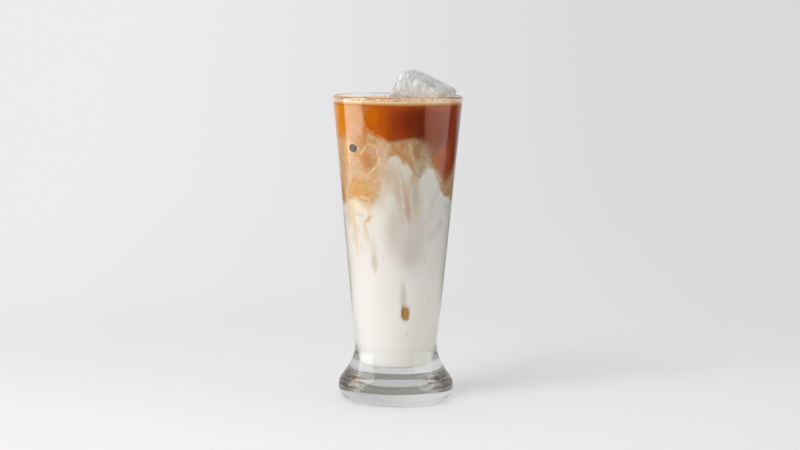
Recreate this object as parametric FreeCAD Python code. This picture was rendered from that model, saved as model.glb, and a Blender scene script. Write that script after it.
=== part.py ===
import FreeCAD, Part
import math
import os
from FreeCAD import Placement, Rotation, Vector

# Iced flat white in a tall footed glass, in millimetres, +Z up.
# The origin is the middle of the ring that the glass stands on.
# Angles round the axis are 0 at the front (-Y) and grow towards +X.

# glass, outside
glass_height = 176.0
rim_radius = 37.25            # outside of the wall, just under the rounded lip
neck_radius = 22.96           # where the wall and the flank of the foot would meet
neck_height = 25.3
neck_fillet = 25.0
foot_radius = 33.3            # widest part of the bulged foot
foot_bulge_radius = 9.0
foot_bulge_height = 8.5       # height of the widest part
ring_inner_radius = 20.0      # flat standing ring, inner edge
push_up_depth = 0.6           # shallow dome in the underside

# glass, inside
rim_wall = 2.4
cavity_floor_height = 18.2
cavity_floor_radius = 14.1    # where the floor and the tapered wall would meet
cavity_floor_fillet = 3.0
cavity_floor_dish = 0.8       # the floor is this much lower in the middle
waist_height = 36.0           # above it the cavity opens out faster
waist_radius = 15.2
waist_fillet = 120.0

# drink
head_gap = 2.0                # from the rim down to the foam
meniscus = 0.8
crema_depth = 2.6
milk_share = 0.60             # still level of the milk, as a share of the drink's depth
swirl_share = 0.85            # still level of the milky coffee over it
field_spacing = 3.2           # grid that the two wavy boundaries are drawn through

# Plumes lift or dip a boundary: angle, how far in from the wall and how wide
# (shares of the cavity's radius there), how long towards the axis, and the
# lift as a share of the drink's depth.
milk_plumes = (
    (-4.0, 0.06, 0.26, 0.42, 0.205),
    (36.0, 0.06, 0.34, 0.46, 0.160),
    (12.0, 0.02, 0.12, 0.24, -0.075),
    (75.0, 0.08, 0.34, 0.40, 0.040),
    (-58.0, 0.06, 0.40, 0.50, 0.040),
    (116.0, 0.08, 0.26, 0.40, 0.140),
    (168.0, 0.10, 0.30, 0.44, -0.070),
    (-112.0, 0.08, 0.24, 0.40, 0.170),
    (-150.0, 0.08, 0.20, 0.36, 0.060),
)
swirl_plumes = (
    (-44.0, 0.08, 0.38, 0.50, 0.060),
    (64.0, 0.06, 0.40, 0.44, -0.140),
    (16.0, 0.06, 0.24, 0.40, 0.020),
    (150.0, 0.10, 0.40, 0.50, 0.035),
    (-105.0, 0.08, 0.34, 0.40, -0.045),
)

# ice cube that leans out of the drink
ice_length = 30.4
ice_width = 28.2
ice_thickness = 30.0
ice_edge_radius = 3.4
ice_turn = -19.7              # about its own upright axis
ice_tilt = 22.8               # top leans over towards +X
ice_nod = 9.6                 # top leans away from the front
ice_drop = 2.6                # its middle lies this far under the foam
ice_bearing = 104.0           # the way it is pushed, against the wall
ice_clearance = 0.4
ice_dimple_radius = 8.0
ice_dimple_depth = 1.3

# worked out from the sizes above
fill_level = glass_height - head_gap
drink_depth = fill_level - cavity_floor_height
lip_radius = rim_wall / 2
wall_top = glass_height - lip_radius
cavity_rim_radius = rim_radius - rim_wall


def point(radius, height):
    return Vector(radius, 0, height)


def line(start, end):
    return Part.LineSegment(start, end).toShape()


def arc(start, middle, end):
    return Part.Arc(start, middle, end).toShape()


# start, middle and end of the arc that rounds a corner between two straight runs
def corner_round(before, corner, after, radius):
    back = (before - corner).normalize()
    on = (after - corner).normalize()
    half_angle = back.getAngle(on) / 2
    reach = radius / math.tan(half_angle)
    axis = (back + on).normalize()
    centre = corner + axis * (radius / math.sin(half_angle))
    return corner + back * reach, centre - axis * radius, corner + on * reach


# the point where a line from outside touches a circle, on its outer side
def touch_point(outside, centre, radius):
    away = outside - centre
    turn = math.acos(radius / away.Length)
    angle = math.atan2(away.z, away.x) - turn
    return centre + point(math.cos(angle), math.sin(angle)) * radius


# the far side of a circular cap: a point halfway along the arc from its top to its edge
def dome_middle(edge_radius, rise, base_height):
    sphere_radius = (edge_radius ** 2 + rise ** 2) / (2 * rise)
    half_angle = math.asin(edge_radius / sphere_radius) / 2
    drop = sphere_radius * (1 - math.cos(half_angle))
    return point(sphere_radius * math.sin(half_angle), base_height + rise - drop)


def revolve(edges):
    face = Part.Face(Part.Wire(edges))
    return face.revolve(Vector(0, 0, 0), Vector(0, 0, 1), 360)


# the cavity's outline from the middle of its floor to the top of its straight wall
def cavity_outline():
    middle = point(0, cavity_floor_height - cavity_floor_dish)
    corner = point(cavity_floor_radius, cavity_floor_height)
    waist = point(waist_radius, waist_height)
    top = point(cavity_rim_radius, wall_top)
    floor_round = corner_round(middle, corner, waist, cavity_floor_fillet)
    waist_round = corner_round(corner, waist, top, waist_fillet)
    return [
        line(middle, floor_round[0]),
        arc(*floor_round),
        line(floor_round[2], waist_round[0]),
        arc(*waist_round),
        line(waist_round[2], top),
    ]


def cavity_radius(height):
    if height < waist_height:
        share = (height - cavity_floor_height) / (waist_height - cavity_floor_height)
        return cavity_floor_radius + share * (waist_radius - cavity_floor_radius)
    share = (height - waist_height) / (wall_top - waist_height)
    return waist_radius + share * (cavity_rim_radius - waist_radius)


def make_glass():
    bulge = point(foot_radius - foot_bulge_radius, foot_bulge_height)
    ring_reach = math.sqrt(foot_bulge_radius ** 2 - foot_bulge_height ** 2)
    ring_outer = point(bulge.x + ring_reach, 0)
    neck = point(neck_radius, neck_height)
    flank_end = touch_point(neck, bulge, foot_bulge_radius)
    rim = point(rim_radius, wall_top)
    neck_round = corner_round(flank_end, neck, rim, neck_fillet)
    ring_inner = point(ring_inner_radius, 0)
    underside = point(0, push_up_depth)
    lip_top = point(rim_radius - lip_radius, glass_height)
    lip_inner = point(cavity_rim_radius, wall_top)
    floor_middle = point(0, cavity_floor_height - cavity_floor_dish)
    outline = [
        arc(underside, dome_middle(ring_inner_radius, push_up_depth, 0), ring_inner),
        line(ring_inner, ring_outer),
        arc(ring_outer, point(foot_radius, foot_bulge_height), flank_end),
        line(flank_end, neck_round[0]),
        arc(*neck_round),
        line(neck_round[2], rim),
        arc(rim, lip_top, lip_inner),
    ]
    outline += cavity_outline()[::-1]
    outline.append(line(floor_middle, underside))
    return revolve(outline)


# all that is in the glass, up to the foam, with the foam's edge drawn up the wall
def make_filling():
    top = point(cavity_rim_radius, wall_top)
    cavity = revolve(cavity_outline() + [
        line(top, point(0, wall_top)),
        line(point(0, wall_top), point(0, cavity_floor_height - cavity_floor_dish)),
    ])
    edge = cavity_radius(fill_level)
    past_wall = edge + rim_wall
    slope = meniscus / math.sqrt(2)
    curve_start = point(edge - meniscus, fill_level)
    curve_end = point(cavity_radius(fill_level + meniscus), fill_level + meniscus)
    curve_middle = point(edge - meniscus + slope, fill_level + meniscus - slope)
    above = glass_height + head_gap
    headspace = revolve([
        line(point(0, fill_level), curve_start),
        arc(curve_start, curve_middle, curve_end),
        line(curve_end, point(past_wall, fill_level + meniscus)),
        line(point(past_wall, fill_level + meniscus), point(past_wall, above)),
        line(point(past_wall, above), point(0, above)),
        line(point(0, above), point(0, fill_level)),
    ])
    return cavity.cut(headspace)


def boundary_height(x, y, still_share, plumes):
    still_height = cavity_floor_height + still_share * drink_depth
    wall = cavity_radius(still_height)
    height = still_height
    for angle, inset, width, length, lift in plumes:
        turn = math.radians(angle)
        outward = x * math.sin(turn) - y * math.cos(turn) - wall * (1 - inset)
        sideways = x * math.cos(turn) + y * math.sin(turn)
        fade = (sideways / (width * wall)) ** 2 + (outward / (length * wall)) ** 2
        height += lift * drink_depth * math.exp(-fade)
    return height


# everything under one wavy boundary between two layers
def space_under(still_share, plumes):
    steps = math.ceil(rim_radius / field_spacing)
    reach = steps * field_spacing
    stations = [index * field_spacing - reach for index in range(2 * steps + 1)]
    rows = [[Vector(x, y, boundary_height(x, y, still_share, plumes)) for y in stations]
            for x in stations]
    surface = Part.BSplineSurface()
    surface.interpolate(rows)
    return surface.toShape().extrude(Vector(0, 0, -2 * glass_height))


def space_over(height):
    side = 4 * rim_radius
    return Part.makeBox(side, side, glass_height, Vector(-side / 2, -side / 2, height))


def ice_rotation():
    turn = Rotation(Vector(0, 0, 1), ice_turn)
    tilt = Rotation(Vector(0, 1, 0), ice_tilt)
    nod = Rotation(Vector(1, 0, 0), ice_nod)
    return nod.multiply(tilt).multiply(turn)


# How far the cube slides along its bearing before it meets the wall: the centres
# of its rounded corners, and the places where its edges pass the top of the rim,
# all stay inside a cavity that is smaller by the edge radius and the clearance.
def ice_slide(rotation, centre_height):
    half = Vector(ice_length, ice_width, ice_thickness) * 0.5
    half -= Vector(1, 1, 1) * ice_edge_radius
    signs = (-1, 1)
    corners = [(i, j, k) for i in signs for j in signs for k in signs]

    def placed(corner):
        local = Vector(corner[0] * half.x, corner[1] * half.y, corner[2] * half.z)
        return rotation.multVec(local) + Vector(0, 0, centre_height)

    tests = [placed(corner) for corner in corners if placed(corner).z < glass_height]
    for first in corners:
        for second in corners:
            start = placed(first)
            end = placed(second)
            differ = sum(a != b for a, b in zip(first, second))
            if differ == 1 and start.z < glass_height < end.z:
                share = (glass_height - start.z) / (end.z - start.z)
                tests.append(start + (end - start) * share)
    lean = math.atan2(cavity_rim_radius - waist_radius, wall_top - waist_height)
    margin = (ice_edge_radius + ice_clearance) / math.cos(lean)
    bearing = math.radians(ice_bearing)
    way = Vector(math.sin(bearing), -math.cos(bearing), 0)
    slides = []
    for test in tests:
        limit = cavity_radius(test.z) - margin
        along = test.x * way.x + test.y * way.y
        apart = test.x ** 2 + test.y ** 2 - limit ** 2
        slides.append(math.sqrt(along ** 2 - apart) - along)
    return way * min(slides)


def make_ice():
    middle = Vector(-ice_length / 2, -ice_width / 2, -ice_thickness / 2)
    cube = Part.makeBox(ice_length, ice_width, ice_thickness, middle)
    cube = cube.makeFillet(ice_edge_radius, cube.Edges)
    rise = (ice_dimple_radius ** 2 + ice_dimple_depth ** 2) / (2 * ice_dimple_depth)
    ball_height = ice_thickness / 2 + rise - ice_dimple_depth
    cube = cube.cut(Part.makeSphere(rise, Vector(0, 0, ball_height)))
    rotation = ice_rotation()
    centre_height = fill_level - ice_drop
    place = ice_slide(rotation, centre_height) + Vector(0, 0, centre_height)
    cube.Placement = Placement(place, rotation)
    return cube


def make_parts():
    ice_cube = make_ice()
    filling = make_filling().cut(ice_cube)
    foam_space = space_over(fill_level - crema_depth)
    milk_space = space_under(milk_share, milk_plumes)
    swirl_space = space_under(swirl_share, swirl_plumes)
    liquid = filling.cut(foam_space)
    coffee = liquid.cut(swirl_space)
    under_coffee = liquid.common(swirl_space)
    return {
        "glass": make_glass(),
        "milk": under_coffee.common(milk_space),
        "swirl": under_coffee.cut(milk_space),
        "coffee": coffee,
        "crema": filling.common(foam_space),
        "ice_cube": ice_cube,
    }


os.makedirs("parts", exist_ok=True)
for name, shape in make_parts().items():
    solid = shape.Solids[0]
    box = solid.BoundBox
    print(name, "solids", len(shape.Solids), "faces", len(solid.Faces),
          "volume %.0f" % solid.Volume, "valid", solid.isValid(),
          "z %.1f to %.1f" % (box.ZMin, box.ZMax), "x %.1f to %.1f" % (box.XMin, box.XMax))
    solid.exportStep("parts/" + name + ".step")
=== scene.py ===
# Iced flat white in a tall footed glass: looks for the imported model.
import math
import random

import bpy
from mathutils import Matrix, Vector


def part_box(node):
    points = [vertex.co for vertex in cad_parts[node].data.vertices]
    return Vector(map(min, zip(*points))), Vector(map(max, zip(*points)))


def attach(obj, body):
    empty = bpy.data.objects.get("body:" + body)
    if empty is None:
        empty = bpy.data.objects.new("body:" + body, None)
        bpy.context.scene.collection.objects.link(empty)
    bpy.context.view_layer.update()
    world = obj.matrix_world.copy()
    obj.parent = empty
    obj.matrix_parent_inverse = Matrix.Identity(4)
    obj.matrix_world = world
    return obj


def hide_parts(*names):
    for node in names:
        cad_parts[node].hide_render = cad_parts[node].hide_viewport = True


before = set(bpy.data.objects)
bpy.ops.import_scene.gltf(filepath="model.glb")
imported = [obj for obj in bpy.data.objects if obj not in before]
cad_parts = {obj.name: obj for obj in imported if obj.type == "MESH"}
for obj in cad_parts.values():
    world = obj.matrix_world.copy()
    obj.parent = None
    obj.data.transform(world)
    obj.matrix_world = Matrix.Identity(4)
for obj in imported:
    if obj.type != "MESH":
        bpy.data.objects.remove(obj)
bpy.context.view_layer.update()
mm = 0.001
print("packed model loaded")


# helpers for meshes
def clearSelection():
    if bpy.context.mode != "OBJECT":
        bpy.ops.object.mode_set(mode="OBJECT")
    bpy.ops.object.select_all(action="DESELECT")


def pick(piece):
    clearSelection()
    piece.select_set(True)
    bpy.context.view_layer.objects.active = piece


def settle(piece):
    pick(piece)
    bpy.ops.object.transform_apply(location=True, rotation=True, scale=True)


def mergedCopy(nodeName, pieceName):
    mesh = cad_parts[nodeName].data.copy()
    piece = bpy.data.objects.new(pieceName, mesh)
    bpy.context.scene.collection.objects.link(piece)
    mesh.materials.clear()
    pick(piece)
    bpy.ops.object.mode_set(mode="EDIT")
    bpy.ops.mesh.select_all(action="SELECT")
    bpy.ops.mesh.remove_doubles(threshold=0.002 * mm)
    bpy.ops.mesh.customdata_custom_splitnormals_clear()
    bpy.ops.mesh.normals_make_consistent(inside=False)
    bpy.ops.object.mode_set(mode="OBJECT")
    return piece


def smooth(piece, degrees):
    pick(piece)
    bpy.ops.object.shade_smooth_by_angle(angle=math.radians(degrees))


def applyAll(piece):
    pick(piece)
    for modifier in list(piece.modifiers):
        bpy.ops.object.modifier_apply(modifier=modifier.name)


def selectBelow(piece, level):
    clearSelection()
    for corner in piece.data.vertices:
        corner.select = corner.co.z < level
    for face in piece.data.polygons:
        face.select = all(piece.data.vertices[index].select for index in face.vertices)
    pick(piece)


def resizeMesh(piece, factors, **pivot):
    pick(piece)
    bpy.ops.object.mode_set(mode="EDIT")
    bpy.ops.mesh.select_all(action="SELECT")
    bpy.ops.transform.resize(value=factors, **pivot)
    bpy.ops.object.mode_set(mode="OBJECT")


def addRemesh(piece, size):
    remesh = piece.modifiers.new("evenMesh", "REMESH")
    remesh.mode = "VOXEL"
    remesh.voxel_size = size


def addSoftening(piece, rounds):
    soften = piece.modifiers.new("soften", "SMOOTH")
    soften.iterations = rounds


def addLumps(piece, name, size, strength, middle=0.5):
    texture = bpy.data.textures.new(name, "CLOUDS")
    texture.noise_scale = size
    texture.noise_depth = 2
    lumps = piece.modifiers.new(name, "DISPLACE")
    lumps.texture = texture
    lumps.strength = strength
    lumps.mid_level = middle
    return lumps


# helpers for colours and nodes
def srgb(red, green, blue):
    def linear(value):
        value /= 255
        return value / 12.92 if value <= 0.04045 else ((value + 0.055) / 1.055) ** 2.4
    return (linear(red), linear(green), linear(blue), 1)


def grey(level):
    return (level, level, level, 1)


class Desk:
    def __init__(self, tree):
        self.tree = tree

    def add(self, kind, **settings):
        node = self.tree.nodes.new(kind)
        for key, value in settings.items():
            setattr(node, key, value)
        return node

    def put(self, socket, value):
        if isinstance(value, bpy.types.NodeSocket):
            self.tree.links.new(value, socket)
        elif value is not None:
            socket.default_value = value

    def math(self, operation, first, second=None, clamp=False):
        node = self.add("ShaderNodeMath", operation=operation, use_clamp=clamp)
        self.put(node.inputs[0], first)
        self.put(node.inputs[1], second)
        return node.outputs[0]

    def vector(self, operation, first, second=None, scale=None):
        node = self.add("ShaderNodeVectorMath", operation=operation)
        self.put(node.inputs[0], first)
        self.put(node.inputs[1], second)
        self.put(node.inputs[3], scale)
        return node.outputs["Value" if operation == "LENGTH" else "Vector"]

    def split(self, vector):
        node = self.add("ShaderNodeSeparateXYZ")
        self.put(node.inputs[0], vector)
        return node.outputs

    def join(self, first, second):
        node = self.add("ShaderNodeCombineXYZ")
        self.put(node.inputs[0], first)
        self.put(node.inputs[1], second)
        return node.outputs[0]

    def ramp(self, value, low, high, toLow=0.0, toHigh=1.0, style="SMOOTHSTEP"):
        node = self.add("ShaderNodeMapRange", interpolation_type=style)
        for socket, item in zip(node.inputs, (value, low, high, toLow, toHigh)):
            self.put(socket, item)
        return node.outputs[0]

    def colours(self, value, stops):
        node = self.add("ShaderNodeValToRGB")
        self.put(node.inputs[0], value)
        elements = node.color_ramp.elements
        for index, (place, colour) in enumerate(stops):
            stop = elements[0] if index == 0 else elements.new(place)
            stop.position = place
            stop.color = colour
        elements.remove(elements[-1])
        return node.outputs[0]

    def blend(self, factor, first, second):
        node = self.add("ShaderNodeMix", data_type="RGBA")
        self.put(node.inputs[0], factor)
        self.put(node.inputs[6], first)
        self.put(node.inputs[7], second)
        return node.outputs[2]

    def noise(self, vector, scale, detail=2.0, roughness=0.5, distortion=0.0):
        node = self.add("ShaderNodeTexNoise")
        self.put(node.inputs["Vector"], vector)
        self.put(node.inputs["Scale"], scale)
        self.put(node.inputs["Detail"], detail)
        self.put(node.inputs["Roughness"], roughness)
        self.put(node.inputs["Distortion"], distortion)
        return node.outputs

    def bump(self, shader, height, strength, distance):
        node = self.add("ShaderNodeBump")
        self.put(node.inputs["Strength"], strength)
        self.put(node.inputs["Distance"], distance)
        self.put(node.inputs["Height"], height)
        self.put(shader.inputs["Normal"], node.outputs[0])

    def mixShaders(self, factor, first, second):
        node = self.add("ShaderNodeMixShader")
        for socket, item in zip(node.inputs, (factor, first, second)):
            self.put(socket, item)
        self.put(self.tree.nodes["Material Output"].inputs["Surface"], node.outputs[0])

    def group(self, tree, **values):
        node = self.add("ShaderNodeGroup", node_tree=tree)
        for name, value in values.items():
            self.put(node.inputs[name], value)
        return node.outputs


def newGroup(name, inputs, outputs):
    tree = bpy.data.node_groups.new(name, "ShaderNodeTree")
    for direction, sockets in (("INPUT", inputs), ("OUTPUT", outputs)):
        for socketName, kind in sockets:
            tree.interface.new_socket(name=socketName, in_out=direction, socket_type="NodeSocket" + kind)
    desk = Desk(tree)
    return desk, desk.add("NodeGroupInput").outputs, desk.add("NodeGroupOutput").inputs


def newMaterial(name):
    material = bpy.data.materials.new(name)
    material.use_nodes = True
    desk = Desk(material.node_tree)
    shader = material.node_tree.nodes["Principled BSDF"]
    place = desk.add("ShaderNodeTexCoord").outputs["Object"]
    return material, desk, shader, place


# camera
camera = {"place": (0.0017459, -1.28725, 0.23064), "lookDown": 5.7394, "roll": 0.4454, "lens": 100.92}
bpy.ops.object.camera_add()
cameraObject = bpy.context.object
cameraObject.data.sensor_width = 36
cameraObject.data.lens = camera["lens"]
cameraObject.matrix_world = (Matrix.Translation(camera["place"])
                             @ Matrix.Rotation(math.radians(90 - camera["lookDown"]), 4, "X")
                             @ Matrix.Rotation(math.radians(camera["roll"]), 4, "Z"))
bpy.context.scene.camera = cameraObject
print("camera placed")

# lamps: those of the kind gloss show in the glass, and those of the kind surfaces light the rest
lampAim = 0.1                # metres above the table
lamps = (
    {"name": "leftSoftBox", "azimuth": -87.5, "distance": 0.43, "low": 0.0, "high": 0.62, "width": 0.35,
     "level": 2.9, "kind": "gloss", "fade": (0.030, 0.085, 0.05)},
    {"name": "rightSoftBox", "azimuth": 78, "distance": 0.55, "low": 0.0, "high": 0.55, "width": 0.60,
     "level": 1.35, "kind": "gloss", "fade": (-0.010, 0.080, 0.40)},
    {"name": "keyLight", "azimuth": -43, "distance": 1.20, "low": 0.50, "high": 1.30, "width": 0.80,
     "level": 5.4, "kind": "surfaces"},
    {"name": "fillLight", "azimuth": 60, "distance": 1.60, "low": 0.30, "high": 1.10, "width": 0.80,
     "level": 1.0, "kind": "surfaces"},
)


def fadeLamp(lamp, low, high, levelBelow):
    lamp.data.use_nodes = True
    desk = Desk(lamp.data.node_tree)
    spot = desk.split(desk.add("ShaderNodeNewGeometry").outputs["Position"])
    glow = desk.ramp(spot["Z"], low, high, toLow=levelBelow)
    path = desk.add("ShaderNodeLightPath").outputs
    through = desk.math("MINIMUM", path["Transmission Depth"], 1.0)
    straight = desk.math("SUBTRACT", through, path["Diffuse Depth"], clamp=True)
    shown = desk.math("MULTIPLY", glow, desk.math("SUBTRACT", 1.0, straight))   # not straight through glass
    desk.put(lamp.data.node_tree.nodes["Emission"].inputs["Strength"], shown)


def addLamp(name, azimuth, distance, low, high, width, level, kind, fade=None):
    turn = math.radians(azimuth)
    place = Vector((math.sin(turn) * distance, -math.cos(turn) * distance, (low + high) / 2))
    bpy.ops.object.light_add(type="AREA", location=place)
    lamp = bpy.context.object
    lamp.name = name
    lamp.data.shape = "RECTANGLE"
    lamp.data.size = width
    lamp.data.size_y = high - low
    lamp.data.energy = level * math.pi * width * (high - low)
    aim = Vector((0, 0, min(place.z, lampAim) if kind == "surfaces" else place.z))
    lamp.rotation_euler = (aim - place).to_track_quat("-Z", "Y").to_euler()
    lamp.visible_camera = False
    lamp.visible_diffuse = kind == "surfaces"
    lamp.visible_glossy = lamp.visible_transmission = kind == "gloss"
    if fade:
        fadeLamp(lamp, *fade)


for lampRow in lamps:
    addLamp(**lampRow)

# sky: grey levels from the horizon up
skyLevels = ((0.0, 0.80), (0.25, 0.75), (0.5, 0.45), (1.0, 0.60))
world = bpy.data.worlds.new("studio")
bpy.context.scene.world = world
world.use_nodes = True
desk = Desk(world.node_tree)
direction = desk.split(desk.add("ShaderNodeTexCoord").outputs["Generated"])
sky = desk.colours(direction["Z"], [(rise, grey(level)) for rise, level in skyLevels])
desk.put(world.node_tree.nodes["Background"].inputs[0], sky)

# floor and backdrop, metres
floor = {
    "size": 6, "middle": (0, -1.0, -0.0001), "backdrop": 3, "bend": 0.8, "bendSteps": 24,
    "pale": 0.82,                        # grey level of the paper
    "paintedDarkReflection": 0.03,                    # painted dark reflection: grey level of its far part where the glass mirrors it
    "farFrom": (0.25, 0.45), "backFrom": (1.4, 0.7),
    # painted shadow: grey level of the floor under the foot where it is seen through the glass, and the edge
    # of that shadow
    "paintedShadowUnderFoot": 0.70, "footShadowEdge": (0.036, 0.030),
    "paintedShadeInGlass": 0.55,                 # painted shade: grey level of the floor where it is reflected inside the glass
    # painted shade: the backdrop's glow is lighter on the left, where the key light is, and darker on the
    # right
    "glowFrom": (0.12, 0.55), "glowLeft": srgb(236, 236, 236), "glowRight": srgb(217, 217, 217),
    # painted shade: level of the backdrop's glow where it is reflected inside the glass
    "glowPaintedShadeInGlass": 0.66,
}


def floorMaterial():
    material, desk, shader, place = newMaterial("paleFloor")
    away = desk.vector("LENGTH", place)
    spot = desk.split(place)
    path = desk.add("ShaderNodeLightPath").outputs
    outside = desk.math("SUBTRACT", 1.0, path["Transmission Depth"], clamp=True)
    # painted dark reflection: the far floor turns nearly black in the glass's reflections
    paintedDarkReflection = desk.math("MULTIPLY", path["Is Glossy Ray"], outside)
    # painted shade for what is reflected inside the glass
    inside = desk.math("MULTIPLY", path["Glossy Depth"], path["Transmission Depth"], clamp=True)
    near = desk.ramp(spot["Y"], *floor["backFrom"])
    far = desk.math("MULTIPLY", desk.ramp(away, *floor["farFrom"]), near)
    # painted shadow under the foot, shown only through the glass
    under = desk.math("MULTIPLY", desk.ramp(away, *floor["footShadowEdge"]), path["Is Transmission Ray"])
    paper = desk.blend(desk.math("MULTIPLY", far, paintedDarkReflection), grey(floor["pale"]), grey(floor["paintedDarkReflection"]))
    paper = desk.blend(under, paper, grey(floor["paintedShadowUnderFoot"]))
    desk.put(shader.inputs["Base Color"], desk.blend(inside, paper, grey(floor["paintedShadeInGlass"])))
    shader.inputs["Roughness"].default_value = 0.7
    shader.inputs["Specular IOR Level"].default_value = 0.2
    # painted shade: the backdrop's glow darkens from left to right
    backdrop = desk.blend(desk.ramp(spot["X"], -0.4, 0.4), floor["glowLeft"], floor["glowRight"])
    glow = desk.add("ShaderNodeEmission")
    desk.put(glow.inputs[0], desk.blend(inside, backdrop, grey(floor["glowPaintedShadeInGlass"])))
    seen = desk.math("MAXIMUM", path["Is Camera Ray"], path["Is Transmission Ray"])
    glowing = desk.math("MULTIPLY", seen, desk.ramp(away, *floor["glowFrom"]))
    desk.mixShaders(glowing, shader.outputs[0], glow.outputs[0])
    return material


clearSelection()
bpy.ops.mesh.primitive_plane_add(size=floor["size"], location=floor["middle"])
floorPiece = bpy.context.object
floorPiece.name = "floor"
bpy.ops.object.mode_set(mode="EDIT")
bpy.ops.mesh.select_all(action="DESELECT")
bpy.ops.object.mode_set(mode="OBJECT")
for edge in floorPiece.data.edges:
    edge.select = all(floorPiece.data.vertices[index].co.y > 0 for index in edge.vertices)
bpy.ops.object.mode_set(mode="EDIT")
bpy.ops.mesh.select_mode(type="EDGE")
bpy.ops.mesh.extrude_region_move(TRANSFORM_OT_translate={"value": (0, 0, floor["backdrop"])})
bpy.ops.object.mode_set(mode="OBJECT")
bend = floorPiece.modifiers.new("bend", "BEVEL")
bend.width = floor["bend"]
bend.segments = floor["bendSteps"]
bend.limit_method = "ANGLE"
applyAll(floorPiece)
smooth(floorPiece, 40)
settle(floorPiece)
floorPiece.data.materials.append(floorMaterial())
print("stage set")

# glass
glass = {"refraction": 1.5, "smoke": (0.5, 0.52, 0.51, 1), "density": 8, "pressedRelief": 0.8 * mm}


def clearMaterial(name, refraction):
    material, desk, shader, place = newMaterial(name)
    shader.inputs["Base Color"].default_value = grey(1)
    shader.inputs["Roughness"].default_value = 0
    shader.inputs["Transmission Weight"].default_value = 1
    shader.inputs["IOR"].default_value = refraction
    shadow = desk.add("ShaderNodeLightPath").outputs["Is Shadow Ray"]
    openAir = desk.add("ShaderNodeBsdfTransparent")
    desk.mixShaders(shadow, shader.outputs[0], openAir.outputs[0])
    return material, desk, shader, place


def glassMaterial():
    material, desk, shader, place = clearMaterial("clearGlass", glass["refraction"])
    smears = desk.noise(desk.vector("MULTIPLY", place, (1, 1, 0.4)), 45, 3, 0.6, 0.5)
    desk.put(shader.inputs["Roughness"], desk.ramp(smears[0], 0.52, 0.74, 0.0, 0.035))
    desk.bump(shader, desk.noise(place, 70, 1, 0.4)[0], 0.06, glass["pressedRelief"])
    smoke = desk.add("ShaderNodeVolumeAbsorption")
    smoke.inputs["Color"].default_value = glass["smoke"]
    smoke.inputs["Density"].default_value = glass["density"]
    desk.put(material.node_tree.nodes["Material Output"].inputs["Volume"], smoke.outputs[0])
    return material


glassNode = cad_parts["glass"]
glassNode.data.materials.clear()
glassNode.data.materials.append(glassMaterial())
print("glass finished")

# the drink's layers
drink = {
    "milkStill": 111.7, "swirlStill": 150.6,   # mm above the table
    "depth": 155.8,                            # mm, what the plumes' lifts are shares of
    "intoWall": 1.005,                         # how far the drink is widened into the wall
    "degreeLength": 0.5,                       # mm along the wall for one degree
    "curveStep": 5, "curveTop": 200,           # degrees and mm of the curves that follow the boundaries
    "spare": 3,                                # mm past a layer at which a patch is still drawn on it
    "softness": 1.4,                           # mm, of a boundary where nothing blurs it
    "relief": 0.3 * mm,
}
# each plume: degrees round from the front, inset, width, length, lift
milkPlumes = (
    (-4, 0.06, 0.26, 0.42, 0.205), (36, 0.06, 0.34, 0.46, 0.160), (12, 0.02, 0.12, 0.24, -0.075),
    (75, 0.08, 0.34, 0.40, 0.040), (-58, 0.06, 0.40, 0.50, 0.040), (116, 0.08, 0.26, 0.40, 0.140),
    (168, 0.10, 0.30, 0.44, -0.070), (-112, 0.08, 0.24, 0.40, 0.170), (-150, 0.08, 0.20, 0.36, 0.060),
)
swirlPlumes = (
    (-44, 0.08, 0.38, 0.50, 0.060), (64, 0.06, 0.40, 0.44, -0.140), (16, 0.06, 0.24, 0.40, 0.020),
    (150, 0.10, 0.40, 0.50, 0.035), (-105, 0.08, 0.34, 0.40, -0.045),
)


def layerTop(degrees, still, plumes):
    height = still
    for turn, inset, width, length, lift in plumes:
        apart = math.radians(degrees - turn)
        fade = (math.sin(apart) / width) ** 2 + ((math.cos(apart) - 1 + inset) / length) ** 2
        height += lift * drink["depth"] * math.exp(-fade)
    return height


def layerCurve(desk, degrees, still, plumes):
    share = desk.ramp(degrees, -180, 180, style="LINEAR")
    node = desk.add("ShaderNodeFloatCurve")
    points = node.mapping.curves[0].points
    steps = 360 // drink["curveStep"]
    for index in range(steps + 1):
        height = layerTop(index * drink["curveStep"] - 180, still, plumes) / drink["curveTop"]
        if index == 0:
            points[0].location = (0, height)
        elif index == steps:
            points[-1].location = (1, height)
        else:
            points.new(index / steps, height)
    node.mapping.update()
    desk.put(node.inputs["Value"], share)
    return desk.math("MULTIPLY", node.outputs[0], drink["curveTop"])


def turnedPlace(desk, given):
    offset = desk.vector("SUBTRACT", given["Place"], given["Middle"])
    turned = desk.add("ShaderNodeVectorRotate", rotation_type="Z_AXIS")
    desk.put(turned.inputs["Vector"], offset)
    desk.put(turned.inputs["Angle"], given["Lean"])
    return turned.outputs[0]


def softMask(desk, given, reach):
    return desk.ramp(reach, desk.math("ADD", 1.0, given["Edge"]), desk.math("SUBTRACT", 1.0, given["Edge"]))


# a soft-edged oval on the wall
desk, given, result = newGroup("softSpot", (("Place", "Vector"), ("Middle", "Vector"), ("Size", "Vector"),
                                            ("Lean", "Float"), ("Edge", "Float")), (("Mask", "Float"),))
spotReach = desk.vector("LENGTH", desk.vector("DIVIDE", turnedPlace(desk, given), given["Size"]))
desk.put(result["Mask"], softMask(desk, given, spotReach))
softSpot = desk.tree

# a soft-edged line on the wall, about its middle
desk, given, result = newGroup("softLine", (("Place", "Vector"), ("Middle", "Vector"), ("Half", "Vector"),
                                            ("Lean", "Float"), ("Width", "Float"), ("Edge", "Float")),
                               (("Mask", "Float"),))
pastEnd = desk.vector("SUBTRACT", desk.vector("ABSOLUTE", turnedPlace(desk, given)), given["Half"])
apart = desk.vector("LENGTH", desk.vector("MAXIMUM", pastEnd, (0, 0, 0)))
desk.put(result["Mask"], softMask(desk, given, desk.math("DIVIDE", apart, given["Width"])))
softLine = desk.tree


def at(degrees, height):
    return (degrees * drink["degreeLength"], height, 0)


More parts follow.
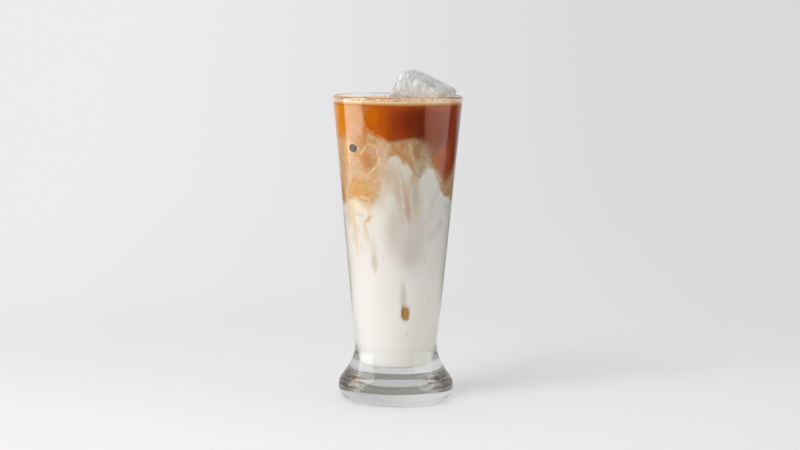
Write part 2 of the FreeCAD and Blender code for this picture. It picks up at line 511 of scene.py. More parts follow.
# coloured patches from back to front: degrees, height, half width in degrees, half height, lean, edge,
# colour and strength
coffeePatches = (
    ("iceMarkRight", 108, 160, 17, 7.5, 12, 0.6, (112, 50, 26), 0.5),
    ("iceMarkBack", -148, 162, 19, 8, -10, 0.6, (206, 124, 40), 0.35),
    ("iceMarkRear", 160, 160, 15, 7, 14, 0.6, (176, 92, 30), 0.35),
    ("rightHaze", 45, 150, 14, 6, 0, 0.6, (140, 96, 70), 0.8),
    ("amberSide", -72, 164, 24, 16, 0, 0.30, (222, 138, 10), 1.0),
    ("creamSide", -44, 165, 12, 13, 0, 0.3, (212, 156, 94), 0.95),
    ("amberZone", -21, 164, 12, 9, 8, 0.14, (190, 98, 2), 1.0),
    ("creamTop", -33, 170.5, 6, 3.4, -20, 0.5, (190, 116, 62), 0.85),
    ("amberGlow", -24, 165, 6, 6, 0, 0.7, (198, 106, 2), 0.6),
    ("amberLow", -20, 157, 12, 5, 25, 0.4, (190, 96, 14), 0.9),
    ("amberBrown", -12, 163, 6, 9, 0, 0.35, (182, 84, 8), 0.8),
    ("redBrown", -6, 160, 5, 9, 0, 0.5, (160, 68, 14), 0.8),
    ("middleBrown", 2, 163, 7, 12, 0, 0.5, (142, 54, 20), 0.8),
    ("redLow", 0, 154.5, 7, 3, 10, 0.6, (152, 62, 26), 0.7),
    ("topGlow", 4, 171, 22, 2.6, 0, 0.6, (164, 68, 24), 0.75),
    ("darkCore", 15, 163, 10, 6.5, 0, 0.6, (118, 42, 16), 0.9),
    ("darkFoot", 20, 156, 8, 4, 0, 0.6, (116, 52, 22), 0.7),
    ("darkRight", 26, 161, 6, 9, 0, 0.5, (100, 38, 18), 0.8),
    ("brownRight", 43, 162, 16, 13, 0, 0.4, (140, 60, 12), 0.95),
    ("redTop", 43, 171, 15, 2.6, 0, 0.6, (168, 74, 30), 0.8),
    ("redEdge", 63, 150, 8, 26, 0, 0.4, (138, 50, 16), 0.95),
    ("orangeRight", 50, 141, 11.5, 7.5, 22, 0.24, (166, 92, 44), 1.0),
    ("redRight", 60, 140, 7, 11, 0, 0.4, (148, 70, 38), 0.8),
)
swirlPatches = (
    ("paleWedge", -26, 155.6, 8, 2.6, 32, 0.6, (214, 182, 138), 0.85),
    ("olivePatch", -26, 153, 5, 3, 20, 0.7, (200, 168, 116), 0.6),
    ("orangeRise", -34, 158, 3.6, 7, 10, 0.7, (208, 130, 52), 0.85),
    ("bubbleHalo", -50, 147, 9, 3.4, 0, 0.5, (236, 200, 146), 0.85),
    ("yellowEdge", -61, 147, 5, 8, 0, 0.7, (240, 194, 118), 0.85),
    ("amberEdge", -65, 158, 8, 5, 0, 0.5, (204, 138, 44), 0.95),
    ("paleEdge", -62, 129, 5, 7, 0, 0.7, (242, 218, 186), 0.8),
    ("orangeLeft", -40, 151, 8, 5, 0, 0.6, (198, 134, 66), 0.9),
    ("paleLeft", -50, 155, 10, 4, 0, 0.7, (214, 156, 98), 0.85),
    ("orangeBand", -45, 142.6, 9, 1.7, 4, 0.7, (214, 152, 88), 0.85),
    ("pinkLoop", -27, 145, 5.5, 4.2, 0, 0.5, (208, 164, 130), 0.85),
    ("orangeUnder", -34, 140.5, 6, 4.6, 18, 0.45, (204, 140, 80), 0.95),
    ("brownUnder", -28, 138, 4, 3.5, -20, 0.6, (192, 142, 98), 0.8),
    ("peachLeft", -52, 136, 11, 5, 0, 0.7, (224, 190, 148), 0.8),
    ("peachRight", -40, 131.5, 8, 2.6, 0, 0.7, (228, 194, 158), 0.7),
    ("pinkMiddle", -15, 146, 6, 6.4, 0, 0.6, (210, 182, 154), 0.95),
    ("pinkLower", -14, 136, 8, 4, 20, 0.7, (216, 192, 166), 0.85),
    ("tanMottle", -21, 134, 4.4, 2.8, -30, 0.6, (206, 168, 128), 0.7),
    ("tanMottleTwo", -10, 133, 4, 2, 10, 0.6, (208, 176, 144), 0.7),
    ("greyTop", 8, 151.6, 15, 2.6, 0, 0.6, (170, 134, 96), 0.8),
    ("orangeFleck", -1, 147, 4.6, 3.2, 20, 0.7, (190, 140, 86), 0.85),
    ("brownFleck", 5, 149.6, 3.4, 2, 0, 0.7, (168, 124, 80), 0.7),
    ("orangeSlope", 9, 142.4, 2.6, 6.4, -34, 0.6, (188, 142, 88), 0.9),
    ("paleRise", 13, 146, 2.4, 5, -12, 0.7, (184, 160, 128), 0.8),
    ("brownOval", 21, 146.6, 4.6, 6.2, 0, 0.4, (152, 118, 88), 0.9),
    ("greyColumn", 31, 143, 6, 9, 0, 0.6, (164, 140, 116), 0.9),
    ("greyOval", 23, 136.4, 4.6, 5.2, 0, 0.4, (178, 162, 138), 0.95),
    ("greyJoin", 32, 138.4, 5, 3, 0, 0.7, (184, 172, 150), 0.8),
    ("orangeRight", 50, 141, 11.5, 7.5, 22, 0.24, (166, 92, 44), 1.0),
    ("redRight", 60, 138, 7, 10, 0, 0.4, (150, 74, 40), 0.8),
    ("orangeBlock", -47, 124, 16, 5.4, 0, 0.6, (224, 172, 106), 0.95),
    ("orangeHeart", -50, 123, 8, 3.2, 0, 0.8, (226, 166, 92), 0.7),
    ("orangeTail", -26, 126, 9, 4.6, -14, 0.7, (220, 180, 134), 0.8),
    ("paleEdgeLow", -70, 121, 6, 5, 0, 0.7, (242, 208, 164), 0.8),
    ("creamUnder", -16, 130.6, 9, 3, -20, 0.7, (218, 196, 168), 0.8),
)
milkPatches = (
    ("plumePeak", -2, 140, 6, 3.4, 0, 0.6, (216, 212, 200), 0.8),
    ("creamBlock", -50, 113.8, 13, 4.4, 0, 0.3, (248, 234, 208), 0.95),
    # painted shadow: a grey line under the cream block
    ("paintedShadowUnderCream", -50, 109.0, 9, 0.9, 0, 0.7, (220, 218, 206), 0.8),
    ("pinkCream", -34, 114, 4, 5.5, 0, 0.6, (250, 222, 196), 0.75),
    ("yellowDrip", -36, 106.8, 6.5, 1.2, -38, 0.7, (234, 200, 136), 0.9),
    ("dripFall", -42, 100, 3.4, 7, -10, 0.8, (238, 208, 170), 0.65),
    ("sideDrip", -61, 102, 4.4, 12, 0, 0.9, (238, 202, 158), 0.65),
    ("warmLeft", -20, 122, 8, 8, 0, 0.8, (222, 206, 188), 0.7),
    ("greyCloud", 18, 94, 20, 15, 0, 0.8, (206, 198, 190), 0.6),
    ("pinkCloud", 16, 88, 12, 7, 0, 0.8, (210, 199, 190), 0.5),
    ("middleCloud", -5, 103, 9, 13, 6, 0.9, (205, 193, 178), 0.55),
    ("edgeDrip", -70, 112, 6, 7, 0, 0.8, (240, 206, 164), 0.7),
    ("smudge", -32, 81.5, 4.6, 4.4, 0, 0.7, (206, 189, 174), 0.65),
    ("smudgeTail", -31, 89, 4, 7, 0, 0.9, (214, 204, 192), 0.45),
    ("dropTail", 11, 62, 4.4, 8.5, -6, 0.9, (212, 198, 180), 0.75),
    ("dropRing", 15.5, 53, 8.2, 5.2, -14, 0.35, (218, 198, 172), 0.8),
    ("drop", 15.5, 52.6, 6.6, 3.9, -14, 0.25, (176, 128, 60), 1.0),
    ("dropEdge", 10.2, 54.5, 1.6, 3.4, 0, 0.6, (126, 90, 56), 0.7),
    ("dropHeart", 16, 52.8, 3.4, 2.2, 0, 0.7, (196, 142, 62), 0.8),
)
# milk risen over the swirl, and streaks of swirl in the milk
overPatches = (
    ("plumeBody", 2, 129, 12, 10, 0, 0.4, (206, 197, 183), 0.95),
    ("plumeHead", -3, 138.4, 7.6, 5, 0, 0.2, (216, 212, 198), 0.95),
    ("plumeShoulder", 7, 134.6, 11, 3.8, 44, 0.25, (212, 206, 192), 0.95),
    ("plumeShade", -12, 130, 6, 8, -10, 0.9, (216, 198, 176), 0.9),
    ("plumeFleck", -16, 134, 5, 3, 20, 0.8, (206, 170, 132), 0.6),
    ("valleyFill", 22, 118, 10, 12.5, 0, 0.35, (206, 194, 176), 0.9),
    ("valleyWarm", 20, 130, 3, 4.6, 0, 0.8, (200, 178, 150), 0.7),
    ("valleyUpper", 6, 127, 2.6, 9, -14, 0.8, (206, 186, 166), 0.7),
    ("valleyLower", 11.5, 114.6, 4.2, 8.6, -12, 0.75, (190, 164, 144), 0.85),
    ("valleyHeart", 13, 112, 2.2, 5, -8, 0.8, (184, 156, 136), 0.6),
    ("valleyRight", 23.5, 118, 3, 8, -4, 0.8, (196, 182, 160), 0.6),
    ("plumeMottle", -9, 133.5, 6, 5.5, 0, 0.9, (204, 182, 158), 0.85),
    ("plumeDusk", 3, 122, 5, 13, -6, 0.9, (192, 174, 154), 0.75),
    ("valleyDusk", 20, 120, 4, 10, 0, 0.9, (180, 176, 168), 0.75),
    ("plumeTwo", 38, 126, 11, 9, 0, 0.5, (206, 206, 196), 0.8),
)
# thin wisps: colour, half width, edge, strength, then degrees and heights of the points it passes
wisps = (
    ((228, 190, 142), 0.45, 0.9, 0.5, ((-31, 158.6), (-25, 156.4), (-17, 153.6), (-11, 151), (-6, 149))),
    ((238, 208, 162), 0.36, 0.9, 0.9, ((-41, 144.4), (-37, 146), (-34, 148.4), (-29, 149.8), (-24, 149.4),
                                       (-21.5, 147), (-20.6, 143.5))),
    ((240, 212, 176), 0.60, 0.9, 0.8, ((-18, 141.6), (-23, 138), (-29, 134), (-35, 131))),
    ((228, 206, 182), 0.50, 0.9, 0.8, ((-20, 143), (-19, 140.6), (-14, 137.6), (-8, 135.4))),
    ((236, 206, 168), 0.45, 0.9, 0.5, ((-36, 129.8), (-27, 128.6), (-20, 129.8), (-12, 129.6))),
    ((204, 182, 152), 0.40, 0.9, 0.7, ((11, 150), (13.5, 147), (16, 143.5), (18, 139.5), (18, 135))),
    ((160, 128, 98), 0.36, 0.9, 0.6, ((17.5, 136), (19, 133), (22.5, 131.6), (26, 132.6), (28, 135))),
    ((222, 198, 172), 0.36, 0.9, 0.6, ((-9, 150), (-12, 146), (-14, 141))),
    ((168, 120, 76), 0.40, 0.9, 0.6, ((-5, 149), (-2, 145.6), (3, 144), (7, 141.4))),
    ((136, 90, 50), 0.45, 0.9, 0.6, ((39.5, 146), (38.4, 142.5), (40, 139.6))),
    ((206, 176, 120), 0.50, 0.9, 0.6, ((36, 137.8), (40, 137.8), (45, 134.4), (50, 131), (55, 128))),
    ((226, 214, 194), 0.60, 0.9, 0.6, ((-1, 139), (3, 131), (5, 123), (7, 114))),
    ((214, 202, 184), 0.60, 0.9, 0.55, ((9, 136), (14, 126), (18, 114), (19, 106))),
    ((250, 222, 166), 0.90, 0.9, 0.65, ((-60, 119.2), (-52, 118.4), (-42, 119), (-34, 118.6))),
)
# tiny specks: degrees, height, radius, colour
specks = ((-18, 85, 0.45, (198, 180, 168)), (40, 84, 0.4, (186, 176, 164)), (59, 59, 0.5, (178, 166, 152)),
          (20, 40, 0.4, (184, 178, 164)), (-35, 66, 0.3, (220, 214, 202)), (-40, 61, 0.3, (218, 212, 200)),
          (33, 101, 0.35, (182, 172, 162)), (2, 74, 0.3, (214, 208, 196)))


def layerSpan(layer, degrees):
    milkTop = layerTop(degrees, drink["milkStill"], milkPlumes)
    swirlTop = layerTop(degrees, drink["swirlStill"], swirlPlumes)
    spans = {"milk": (0, milkTop), "swirl": (milkTop, swirlTop), "coffee": (swirlTop, drink["curveTop"])}
    return spans[layer]


def reaches(layer, turns, low, high):
    spans = [layerSpan(layer, turn) for turn in turns]
    low, high = low - drink["spare"], high + drink["spare"]
    return any(low < top and high > bottom for bottom, top in spans)


# painted light: on the shaded side the tints are painted a little stronger and lighter, to make up for the
# shade there
shadedSide = {"most": 0.40, "from": -45, "over": 95, "palest": 0.93}


def shadeLiftedTint(tint, degrees):
    lift = 1.0 + shadedSide["most"] * min(max((degrees - shadedSide["from"]) / shadedSide["over"], 0), 1)
    return tuple(min(value * lift, shadedSide["palest"]) for value in srgb(*tint)[:3]) + (1,)


def paint(desk, layer, colour, place, rows):
    for name, turn, height, halfTurn, halfHeight, lean, edge, tint, strength in rows:
        lean = math.radians(lean)
        wide = halfTurn * (1 + edge)
        tall = (halfHeight + halfTurn * drink["degreeLength"] * abs(math.sin(lean))) * (1 + edge)
        turns = [turn + wide * share for share in (-1, -0.5, 0, 0.5, 1)]
        if not reaches(layer, turns, height - tall, height + tall):
            continue
        mask = desk.group(softSpot, Place=place, Middle=at(turn, height), Lean=lean, Edge=edge,
                          Size=(halfTurn * drink["degreeLength"], halfHeight, 1))[0]
        mask.node.label = name
        shown = srgb(*tint) if rows is milkPatches else shadeLiftedTint(tint, turn)
        colour = desk.blend(desk.math("MULTIPLY", mask, strength), colour, shown)
    return colour


def paintWisps(desk, layer, colour, place, wall):
    thinning = desk.ramp(desk.noise(place, 520, 2, 0.5)[0], 0.36, 0.54, 0.30, 1.0)
    for tint, width, edge, strength, points in wisps:
        mask = None
        for first, second in zip(points, points[1:]):
            heights = (first[1], second[1])
            if not reaches(layer, (first[0], second[0]), min(heights) - width, max(heights) + width):
                continue
            start, end = Vector(at(*first)), Vector(at(*second))
            run = end - start
            line = desk.group(softLine, Place=wall, Middle=(start + end) / 2, Half=(run.length / 2, 0, 0),
                              Lean=-math.atan2(run.y, run.x), Width=width, Edge=edge)[0]
            mask = line if mask is None else desk.math("MAXIMUM", mask, line)
        if mask is not None:
            shown = desk.math("MULTIPLY", desk.math("MULTIPLY", mask, thinning), strength)
            colour = desk.blend(shown, colour, shadeLiftedTint(tint, points[0][0]))
    return colour


def paintSpecks(desk, layer, colour, wall):
    for turn, height, radius, tint in specks:
        if reaches(layer, (turn,), height - 2, height + 2):
            mask = desk.group(softSpot, Place=wall, Middle=at(turn, height), Size=(radius, radius, 1),
                              Lean=0.0, Edge=0.6)[0]
            colour = desk.blend(mask, colour, srgb(*tint))
    return colour


def stirred(desk, place, wall, amount, scale, seed):
    moved = desk.vector("ADD", place, (seed, seed * 0.7, -seed))
    noise = desk.noise(moved, scale, 3, 0.55)["Color"]
    shift = desk.vector("SCALE", desk.vector("SUBTRACT", noise, (0.5, 0.5, 0.5)), scale=amount)
    return desk.vector("ADD", wall, desk.vector("MULTIPLY", shift, (1, 1, 0)))


# milk, from pure at the bottom to greyer and clouded near the swirl
def milkColour(desk, place, across, height, wallHeight):
    side = desk.ramp(across, -50, 30)
    low = desk.blend(side, srgb(252, 250, 244), srgb(252, 249, 238))
    high = desk.blend(side, srgb(247, 241, 231), srgb(240, 238, 233))
    colour = desk.blend(desk.ramp(wallHeight, 18, 120), low, high)
    clouds = desk.noise(desk.vector("MULTIPLY", place, (1, 1, 0.55)), 105, 5, 0.62, 1.5)[0]
    clouded = desk.math("MULTIPLY", desk.ramp(clouds, 0.48, 0.66), desk.ramp(height, 70, 118))
    return desk.blend(desk.math("MULTIPLY", clouded, 0.45), colour, srgb(208, 198, 188))


# milky coffee in eddies
swirlStops = ((0.34, srgb(198, 136, 76)), (0.44, srgb(210, 160, 108)), (0.52, srgb(224, 188, 148)),
              (0.60, srgb(204, 164, 124)), (0.68, srgb(232, 204, 170)))


# threads of cream and of coffee drawn through it, and flecks
def drawThreads(desk, colour, place, eddyPlace, dim):
    threads = desk.split(desk.noise(eddyPlace, 190, 3, 0.6, 2.2)["Color"])
    for axis, tint in (("X", srgb(240, 216, 184)), ("Y", srgb(186, 130, 80))):
        apart = desk.math("ABSOLUTE", desk.math("SUBTRACT", threads[axis], 0.5))
        colour = desk.blend(desk.math("MULTIPLY", desk.ramp(apart, 0.030, 0.004), 0.30), colour, tint)
    flecks = desk.noise(desk.vector("ADD", place, (0.3, 0.1, 0.2)), 480, 4, 0.65, 0.9)[0]
    pale = desk.math("MULTIPLY", desk.ramp(flecks, 0.51, 0.63), 0.45)
    colour = desk.blend(pale, colour, desk.blend(dim, srgb(232, 190, 126), srgb(190, 156, 108)))
    deep = desk.math("MULTIPLY", desk.ramp(flecks, 0.48, 0.36), 0.45)
    return desk.blend(deep, colour, desk.blend(dim, srgb(196, 140, 92), srgb(140, 102, 72)))


# coffee, amber where the light comes through and dark where it is deep
def coffeeColour(desk, place, across):
    colour = desk.blend(desk.ramp(across, -40, 20), srgb(204, 114, 14), srgb(140, 56, 22))
    noise = desk.noise(desk.vector("MULTIPLY", place, (1, 1, 3)), 60, 3, 0.5)[0]
    return desk.blend(desk.math("MULTIPLY", desk.ramp(noise, 0.45, 0.7), 0.4), colour, srgb(150, 66, 18))


def nearness(desk, degrees, middle, far, near, toNear):
    apart = desk.math("ABSOLUTE", desk.math("SUBTRACT", degrees, middle))
    return desk.ramp(apart, far, near, drink["softness"], toNear)


def above(desk, wall, still, plumes, softness):
    degrees = desk.math("DIVIDE", wall["X"], drink["degreeLength"])
    over = desk.math("SUBTRACT", wall["Y"], layerCurve(desk, degrees, still, plumes))
    return desk.ramp(over, desk.math("MULTIPLY", softness, -1), softness)


# the three colours laid over each other along their wavy boundaries
def mixDrinkColour(layer):
    desk, given, result = newGroup(layer + "Colour", (("Place", "Vector"),),
                                   (("Colour", "Color"), ("Relief", "Float")))
    place = given["Place"]
    spot = desk.split(place)
    backwards = desk.math("MULTIPLY", spot["Y"], -1)
    degrees = desk.math("DEGREES", desk.math("ARCTAN2", spot["X"], backwards))
    across = desk.math("DEGREES", desk.math("ARCSINE", desk.math("SINE", desk.math("RADIANS", degrees))))
    height = desk.math("MULTIPLY", spot["Z"], 1000)
    along = desk.math("MULTIPLY", degrees, drink["degreeLength"])
    gently = stirred(desk, place, desk.join(along, height), 2.2, 260, 0.3)
    finely = stirred(desk, place, gently, 1.0, 1100, 0.9)
    calm = desk.split(gently)

    milk = paint(desk, layer, milkColour(desk, place, across, height, calm["Y"]), gently, milkPatches)
    bent = desk.vector("SCALE", desk.noise(place, 70, 2, 0.5)["Color"], scale=0.014)
    eddyPlace = desk.vector("ADD", desk.vector("MULTIPLY", place, (1, 1, 0.75)), bent)
    eddies = desk.noise(eddyPlace, 130, 5, 0.62, 1.0)[0]
    dim = desk.math("MULTIPLY", desk.ramp(across, -20, 20), 0.55)
    swirl = desk.blend(dim, desk.colours(eddies, swirlStops), srgb(180, 150, 120))
    swirl = paint(desk, layer, swirl, gently, swirlPatches)
    swirl = drawThreads(desk, swirl, place, eddyPlace, dim)
    coffee = paint(desk, layer, coffeeColour(desk, place, across), gently, coffeePatches)

    soft = nearness(desk, degrees, 0, 68, 90, 2.8)
    soft = desk.math("MAXIMUM", soft, nearness(desk, degrees, -30, 24, 8, 5.0))
    soft = desk.math("MAXIMUM", soft, nearness(desk, degrees, 27, 10, 4, 4.0))
    colour = desk.blend(above(desk, calm, drink["milkStill"], milkPlumes, soft), milk, swirl)
    colour = paint(desk, layer, colour, gently, overPatches)
    blur = desk.ramp(degrees, -36, -26, 5.0, 1.5)
    blur = desk.math("MAXIMUM", blur, desk.ramp(degrees, 18, 32, 1.5, 5.5))
    colour = desk.blend(above(desk, calm, drink["swirlStill"], swirlPlumes, blur), colour, coffee)
    colour = paintWisps(desk, layer, colour, place, finely)
    desk.put(result["Colour"], paintSpecks(desk, layer, colour, gently))
    desk.put(result["Relief"], eddies)
    return desk.tree


def drinkMaterial(layer):
    material, desk, shader, place = newMaterial(layer)
    field = desk.group(mixDrinkColour(layer), Place=place)
    desk.put(shader.inputs["Base Color"], field["Colour"])
    desk.put(shader.inputs["Roughness"], desk.ramp(field["Relief"], 0.3, 0.7, 0.42, 0.60))
    shader.inputs["Specular IOR Level"].default_value = 0.0
    desk.bump(shader, field["Relief"], 0.15, drink["relief"])
    return material


for name in ("milk", "swirl", "coffee"):
    piece = mergedCopy(name, name + "Layer")
    resizeMesh(piece, (drink["intoWall"], drink["intoWall"], 1))
    smooth(piece, 16)
    piece.data.materials.append(drinkMaterial(name))
    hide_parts(name)
    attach(piece, "root")
print("drink filled")

# ice
ice = {
    "voxel": 0.55 * mm, "smoothing": 6, "ripple": 0.25 * mm, "rippleSize": 6 * mm,
    "waterline": 174.4 * mm, "sunkSwell": 0.7 * mm,   # under the foam the ice is grown to meet the drink
    "refraction": 1.31, "relief": 0.8 * mm,
}
heart = {
    "size": 0.95,                                     # share of the ice cube
    "voxel": 0.7 * mm, "smoothing": 12, "lump": 0.9 * mm, "lumpSize": 5 * mm, "lumpMiddle": 0.6,
    "opaqueBelow": 173 * mm, "clearAbove": 178 * mm,
    "warmBelow": 174.5 * mm, "coldAbove": 184 * mm,
}


def iceMaterial():
    material, desk, shader, place = clearMaterial("clearIce", ice["refraction"])
    streaks = desk.noise(desk.vector("MULTIPLY", place, (1, 1, 0.22)), 420, 3, 0.6, 0.4)[0]
    dents = desk.noise(place, 160, 2, 0.5)[0]
    desk.bump(shader, desk.math("ADD", desk.math("MULTIPLY", streaks, 0.5), dents), 0.4, ice["relief"])
    return material


def frostMaterial():
    material, desk, shader, place = newMaterial("frost")
    frost = desk.noise(place, 150, 4, 0.6, 0.5)[0]
    upright = desk.noise(desk.vector("MULTIPLY", place, (1, 1, 0.15)), 520, 3, 0.6, 0.3)[0]
    cloud = desk.math("MULTIPLY", desk.math("ADD", frost, upright), 0.5)
    height = desk.split(place)["Z"]
    cold = desk.blend(desk.ramp(cloud, 0.34, 0.66), srgb(190, 194, 197), srgb(232, 235, 237))
    warmed = desk.math("MULTIPLY", desk.ramp(height, heart["coldAbove"], heart["warmBelow"]), 0.55)
    desk.put(shader.inputs["Base Color"], desk.blend(warmed, cold, srgb(206, 186, 162)))
    thick = desk.ramp(height, heart["opaqueBelow"], heart["clearAbove"], 1.0, 0.0)
    desk.put(shader.inputs["Alpha"], desk.math("MAXIMUM", thick, desk.ramp(cloud, 0.40, 0.62, 0.45, 0.90)))
    desk.put(shader.inputs["Roughness"], desk.ramp(cloud, 0.36, 0.62, 0.35, 0.65))
    return material


icePiece = mergedCopy("ice_cube", "iceBlock")
addRemesh(icePiece, ice["voxel"])
addSoftening(icePiece, ice["smoothing"])
addLumps(icePiece, "iceRipple", ice["rippleSize"], ice["ripple"])
applyAll(icePiece)
selectBelow(icePiece, ice["waterline"])
bpy.ops.object.mode_set(mode="EDIT")
bpy.ops.transform.shrink_fatten(value=ice["sunkSwell"])
bpy.ops.object.mode_set(mode="OBJECT")
smooth(icePiece, 60)
icePiece.data.materials.append(iceMaterial())
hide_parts("ice_cube")
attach(icePiece, "root")

# cloudy heart of the ice
low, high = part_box("ice_cube")
core = mergedCopy("ice_cube", "iceHeart")
resizeMesh(core, (heart["size"], heart["size"], heart["size"]), center_override=(low + high) / 2)
addRemesh(core, heart["voxel"])
addSoftening(core, heart["smoothing"])
addLumps(core, "frostLumps", heart["lumpSize"], heart["lump"], heart["lumpMiddle"])
applyAll(core)
smooth(core, 60)
core.data.materials.append(frostMaterial())
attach(core, "root")
print("ice made")

# crema, mm
crema = {
    "bottom": 171.4, "bottomBand": 0.3, "overlap": 0.4, "level": 174.0, "lip": 0.8, "edgeTop": 175,
    "intoWall": 1.0058,
    "voxel": 0.5, "relief": 0.5, "lumpSize": 7, "frothRelief": 0.25,
}
# colours of its edge at the wall, from the bottom up
sideStops = ((0.0, srgb(176, 92, 30)), (0.18, srgb(206, 138, 66)), (0.34, srgb(226, 172, 106)),
             (0.50, srgb(238, 204, 152)), (0.72, srgb(252, 236, 204)))


def cremaMaterial():
    material, desk, shader, place = newMaterial("crema")
    wobble = desk.math("SUBTRACT", desk.noise(place, 130, 2, 0.5)[0], 0.5)
    height = desk.math("MULTIPLY", desk.split(place)["Z"], 1000)
    height = desk.math("ADD", height, desk.math("MULTIPLY", wobble, 0.5))
    rise = desk.ramp(height, crema["bottom"], crema["edgeTop"], style="LINEAR")
    marble = desk.noise(desk.vector("MULTIPLY", place, (1, 1, 0.2)), 75, 5, 0.62, 1.8)[0]
    top = desk.blend(desk.ramp(marble, 0.40, 0.62), srgb(214, 158, 96), srgb(250, 232, 198))
    cells = desk.add("ShaderNodeTexVoronoi", feature="SMOOTH_F1")
    desk.put(cells.inputs["Vector"], place)
    cells.inputs["Scale"].default_value = 1500
    froth = cells.outputs["Distance"]
    top = desk.blend(desk.math("MULTIPLY", desk.ramp(froth, 0.25, 0.7), 0.35), top, srgb(196, 140, 84))
    facing = desk.split(desk.add("ShaderNodeNewGeometry").outputs["Normal"])
    desk.put(shader.inputs["Base Color"],
             desk.blend(desk.ramp(facing["Z"], 0.4, 0.8), desk.colours(rise, sideStops), top))
    desk.put(shader.inputs["Roughness"], desk.ramp(marble, 0.40, 0.62, 0.34, 0.52))
    shader.inputs["Specular IOR Level"].default_value = 0.25
    desk.bump(shader, froth, 0.5, crema["frothRelief"] * mm)
    return material


cremaPiece = mergedCopy("crema", "cremaFoam")
selectBelow(cremaPiece, (crema["bottom"] + crema["bottomBand"]) * mm)
bpy.ops.object.mode_set(mode="EDIT")
bpy.ops.transform.translate(value=(0, 0, -crema["overlap"] * mm))
bpy.ops.object.mode_set(mode="OBJECT")
resizeMesh(cremaPiece, (crema["intoWall"], crema["intoWall"], 1))
addRemesh(cremaPiece, crema["voxel"] * mm)
applyAll(cremaPiece)
foamTop = cremaPiece.vertex_groups.new(name="foamTop")
topFrom = (crema["level"] - crema["lip"]) * mm
foamTop.add([corner.index for corner in cremaPiece.data.vertices if corner.co.z > topFrom], 1, "ADD")
frothLumps = addLumps(cremaPiece, "frothLumps", crema["lumpSize"] * mm, crema["relief"] * mm)
frothLumps.direction = "Z"
frothLumps.vertex_group = "foamTop"
applyAll(cremaPiece)
smooth(cremaPiece, 60)
cremaPiece.data.materials.append(cremaMaterial())
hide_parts("crema")
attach(cremaPiece, "root")

# bubbles in the crema, mm: a ring along the wall, and loose ones
bubbles = {
    "ring": 150, "loose": 170, "smallest": 0.22, "largest": 0.95, "seed": 11,
    "wallRadius": 34.6, "ringWidth": 2.5, "looseRadius": 33,
    "climbFrom": 32.5, "climbRate": 0.25,      # from this radius out the foam climbs the wall
    "iceDepth": 1.5,                           # ice nearer the surface than this leaves no room for a bubble
    "lookFrom": 0.3,                           # metres up, above all of the ice
    "spacing": 0.8, "wallGap": 0.3, "lift": 0.05,
    "flatness": 0.62, "cutAt": -0.25, "segments": 10, "rings": 6,
}


def insideIce(x, y):
    hit, spot = icePiece.ray_cast(Vector((x, y, bubbles["lookFrom"])), Vector((0, 0, -1)))[:2]
    return hit and spot.z > (crema["level"] - bubbles["iceDepth"]) * mm


def bubblePlaces():
    chance = random.Random(bubbles["seed"])
    places = []
    while len(places) < bubbles["ring"] + bubbles["loose"]:
        onRing = len(places) < bubbles["ring"]
        size = bubbles["smallest"] + (bubbles["largest"] - bubbles["smallest"]) * chance.random() ** 3
        turn = chance.uniform(0, 2 * math.pi)
        draw = chance.random()
        byWall = bubbles["wallRadius"] - size - bubbles["wallGap"] - draw ** 2 * bubbles["ringWidth"]
        out = byWall if onRing else bubbles["looseRadius"] * math.sqrt(draw)
        x, y = out * math.sin(turn), -out * math.cos(turn)
        if insideIce(x * mm, y * mm):
            continue
        if any(math.hypot(x - otherX, y - otherY) < bubbles["spacing"] * (size + other)
               for otherX, otherY, other, rise in places):
            continue
        climb = bubbles["climbRate"] * max(0, out - bubbles["climbFrom"]) if onRing else 0
        places.append((x, y, size, climb))
    return places


def bubbleMaterial():
    material, desk, shader, place = newMaterial("foamBubble")
    spread = desk.noise(place, 300, 2, 0.5)[0]
    desk.put(shader.inputs["Base Color"],
             desk.blend(desk.ramp(spread, 0.4, 0.6), srgb(206, 150, 92), srgb(248, 228, 192)))
    desk.put(shader.inputs["Roughness"], desk.ramp(spread, 0.3, 0.7, 0.12, 0.26))
    shader.inputs["Coat Weight"].default_value = 0.5
    shader.inputs["Coat Roughness"].default_value = 0.05
    return material


clearSelection()
bpy.ops.mesh.primitive_uv_sphere_add(segments=bubbles["segments"], ring_count=bubbles["rings"], radius=1)
seedBubble = bpy.context.object
bpy.ops.object.mode_set(mode="EDIT")
bpy.ops.mesh.bisect(plane_co=(0, 0, bubbles["cutAt"]), plane_no=(0, 0, 1), use_fill=True, clear_inner=True)
bpy.ops.object.mode_set(mode="OBJECT")
pieces = []
for x, y, size, climb in bubblePlaces():
    piece = bpy.data.objects.new("bubble", seedBubble.data.copy())
    bpy.context.scene.collection.objects.link(piece)
    piece.scale = (size * mm, size * mm, size * bubbles["flatness"] * mm)
    piece.location = (x * mm, y * mm, (crema["level"] + climb + bubbles["lift"] * size) * mm)
    pieces.append(piece)
bpy.data.objects.remove(seedBubble)
clearSelection()
for piece in pieces:
    piece.select_set(True)
bpy.context.view_layer.objects.active = pieces[0]
bpy.ops.object.transform_apply(location=True, rotation=True, scale=True)
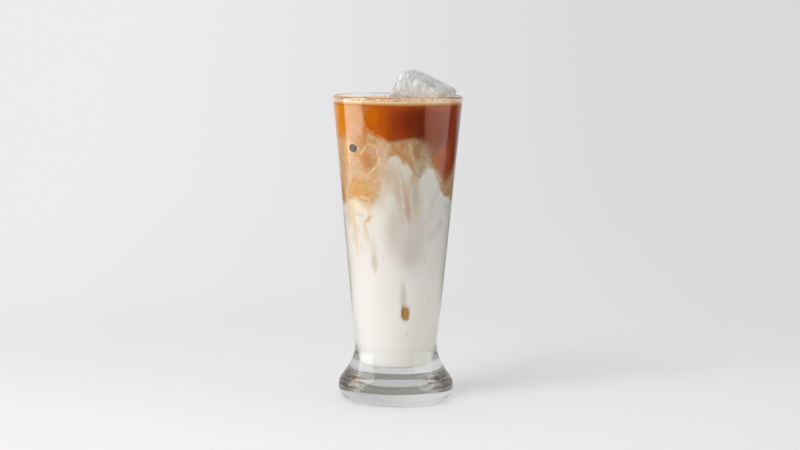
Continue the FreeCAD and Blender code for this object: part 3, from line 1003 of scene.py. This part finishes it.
bpy.ops.object.join()
foamBubbles = bpy.context.object
foamBubbles.name = "foamBubbles"
smooth(foamBubbles, 80)
foamBubbles.data.materials.append(bubbleMaterial())
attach(foamBubbles, "root")
print("crema topped")

# dark bubble against the wall, degrees and mm
wallBubble = {
    "degrees": -50.5, "height": 147.0, "radius": 2.4, "depth": 1.0, "stretch": 1.3,
    "dents": 0.35, "dentSize": 1.4, "lean": 8, "relief": 0.3,
}
# inner radius of the glass: at the cavity's foot, its height, and how much it widens for each mm up
wall = {"footRadius": 15.2, "footHeight": 36, "widening": 0.1416}


def darkMaterial():
    material, desk, shader, place = newMaterial("darkBubble")
    dapple = desk.noise(place, 420, 2, 0.5)[0]
    desk.put(shader.inputs["Base Color"],
             desk.blend(desk.ramp(dapple, 0.44, 0.62), srgb(62, 14, 4), srgb(112, 58, 40)))
    desk.put(shader.inputs["Roughness"], desk.ramp(dapple, 0.3, 0.7, 0.25, 0.45))
    desk.bump(shader, dapple, 0.3, wallBubble["relief"] * mm)
    return material


turn = math.radians(wallBubble["degrees"])
out = (wall["footRadius"] + (wallBubble["height"] - wall["footHeight"]) * wall["widening"]) * mm
clearSelection()
bpy.ops.mesh.primitive_uv_sphere_add(segments=32, ring_count=20, radius=wallBubble["radius"] * mm)
bubble = bpy.context.object
bubble.name = "wallBubble"
resizeMesh(bubble, (wallBubble["stretch"], wallBubble["depth"] / wallBubble["radius"], 1))
addLumps(bubble, "bubbleDents", wallBubble["dentSize"] * mm, wallBubble["dents"] * mm)
applyAll(bubble)
bubble.rotation_euler = (math.radians(wallBubble["lean"]), 0, turn)
bubble.location = (out * math.sin(turn), -out * math.cos(turn), wallBubble["height"] * mm)
settle(bubble)
smooth(bubble, 60)
bubble.data.materials.append(darkMaterial())
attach(bubble, "root")
print("marks made")

scene = bpy.context.scene
scene.view_settings.view_transform = "Standard"
scene.cycles.max_bounces = 64
scene.cycles.transmission_bounces = 64
scene.cycles.glossy_bounces = 64

bpy.context.view_layer.update()
